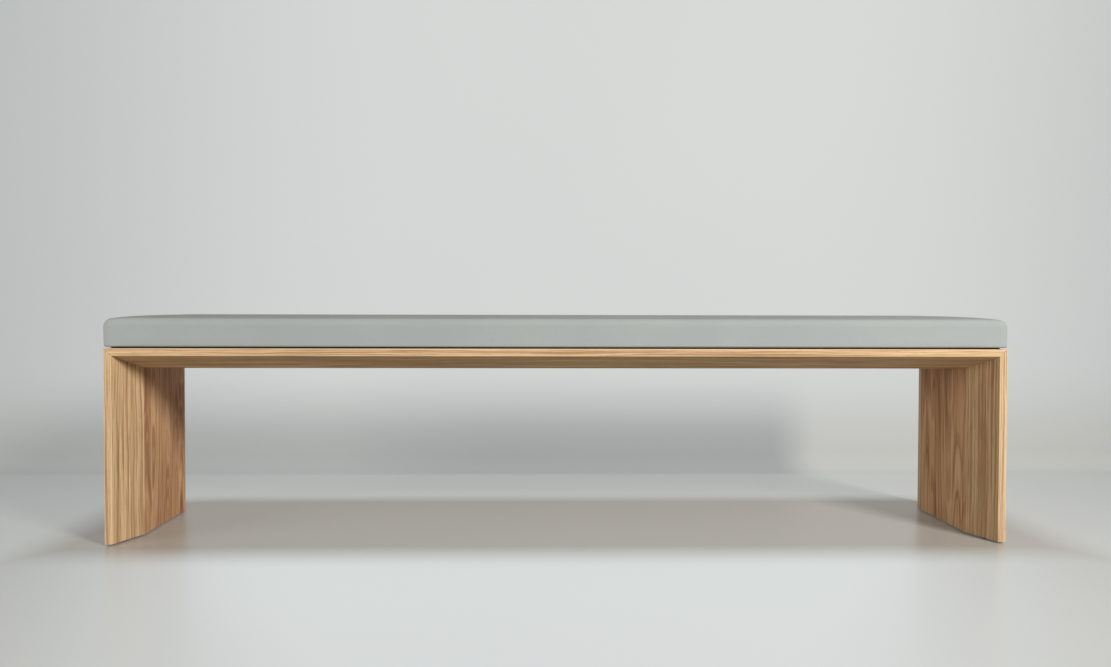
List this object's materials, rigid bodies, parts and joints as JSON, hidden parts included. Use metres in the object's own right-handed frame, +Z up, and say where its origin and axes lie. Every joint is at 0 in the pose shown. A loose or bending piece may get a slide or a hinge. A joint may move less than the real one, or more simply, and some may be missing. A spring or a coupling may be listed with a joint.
{
  "type": "cushioned bench",
  "caption": "Free-standing bench: mitred oak U-frame of panels bevelled to slim edges, a bolted grey upholstered seat cushion and levelling feet.",
  "frame": {"origin": "on the floor, below the centre of the bench", "axes": "+X along the bench to the right as seen from its front, +Y from front to rear, +Z up"},
  "size_m": [1.8, 0.45, 0.457],
  "materials": {
    "oak_rail": "clear matt lacquer on straight-grained solid oak",
    "oak_veneer": "clear matt lacquer on oak veneer",
    "panel_core": "raw blockboard, hidden but for its lower ends",
    "plywood": "raw birch plywood",
    "cushion_leather": "smooth matt grey upholstery hide with a fine grain",
    "seat_foam": "open-cell polyurethane foam",
    "seat_wadding": "white polyester fibre wadding",
    "black_lining": "black needled felt",
    "zinc_steel": "bright zinc plating",
    "black_bolt": "black oxide",
    "foot_plastic": "black moulded nylon"
  },
  "bodies": {
    "bench": {"cushion_base_board": "plywood", "cushion_bolts": "black_bolt", "cushion_cover": "cushion_leather", "cushion_foam": "seat_foam", "cushion_inserts": "zinc_steel", "cushion_lining": "black_lining", "cushion_staples": "zinc_steel", "cushion_wadding": "seat_wadding", "cushion_washers": "zinc_steel", "left_leg_core": "panel_core", "left_leg_front_rail": "oak_rail", "left_leg_front_tongue": "plywood", "left_leg_inner_veneer": "oak_veneer", "left_leg_outer_veneer": "oak_veneer", "left_leg_rear_rail": "oak_rail", "left_leg_rear_tongue": "plywood", "left_mitre_spline": "plywood", "leg_inserts": "zinc_steel", "right_leg_core": "panel_core", "right_leg_front_rail": "oak_rail", "right_leg_front_tongue": "plywood", "right_leg_inner_veneer": "oak_veneer", "right_leg_outer_veneer": "oak_veneer", "right_leg_rear_rail": "oak_rail", "right_leg_rear_tongue": "plywood", "right_mitre_spline": "plywood", "seat_core": "panel_core", "seat_front_rail": "oak_rail", "seat_front_tongue": "plywood", "seat_rear_rail": "oak_rail", "seat_rear_tongue": "plywood", "seat_top_veneer": "oak_veneer", "seat_under_veneer": "oak_veneer"},
    "left_front_foot": {"left_front_foot_pad": "foot_plastic", "left_front_foot_stud": "zinc_steel"},
    "left_rear_foot": {"left_rear_foot_pad": "foot_plastic", "left_rear_foot_stud": "zinc_steel"},
    "right_front_foot": {"right_front_foot_pad": "foot_plastic", "right_front_foot_stud": "zinc_steel"},
    "right_rear_foot": {"right_rear_foot_pad": "foot_plastic", "right_rear_foot_stud": "zinc_steel"}
  },
  "joints": [
    {"name": "left_front_foot_level", "type": "slide", "parent": "bench", "child": "left_front_foot", "axis": [0, 0, -1], "range_m": [0, 0.01]},
    {"name": "left_rear_foot_level", "type": "slide", "parent": "bench", "child": "left_rear_foot", "axis": [0, 0, -1], "range_m": [0, 0.01]},
    {"name": "right_front_foot_level", "type": "slide", "parent": "bench", "child": "right_front_foot", "axis": [0, 0, -1], "range_m": [0, 0.01]},
    {"name": "right_rear_foot_level", "type": "slide", "parent": "bench", "child": "right_rear_foot", "axis": [0, 0, -1], "range_m": [0, 0.01]}
  ]
}
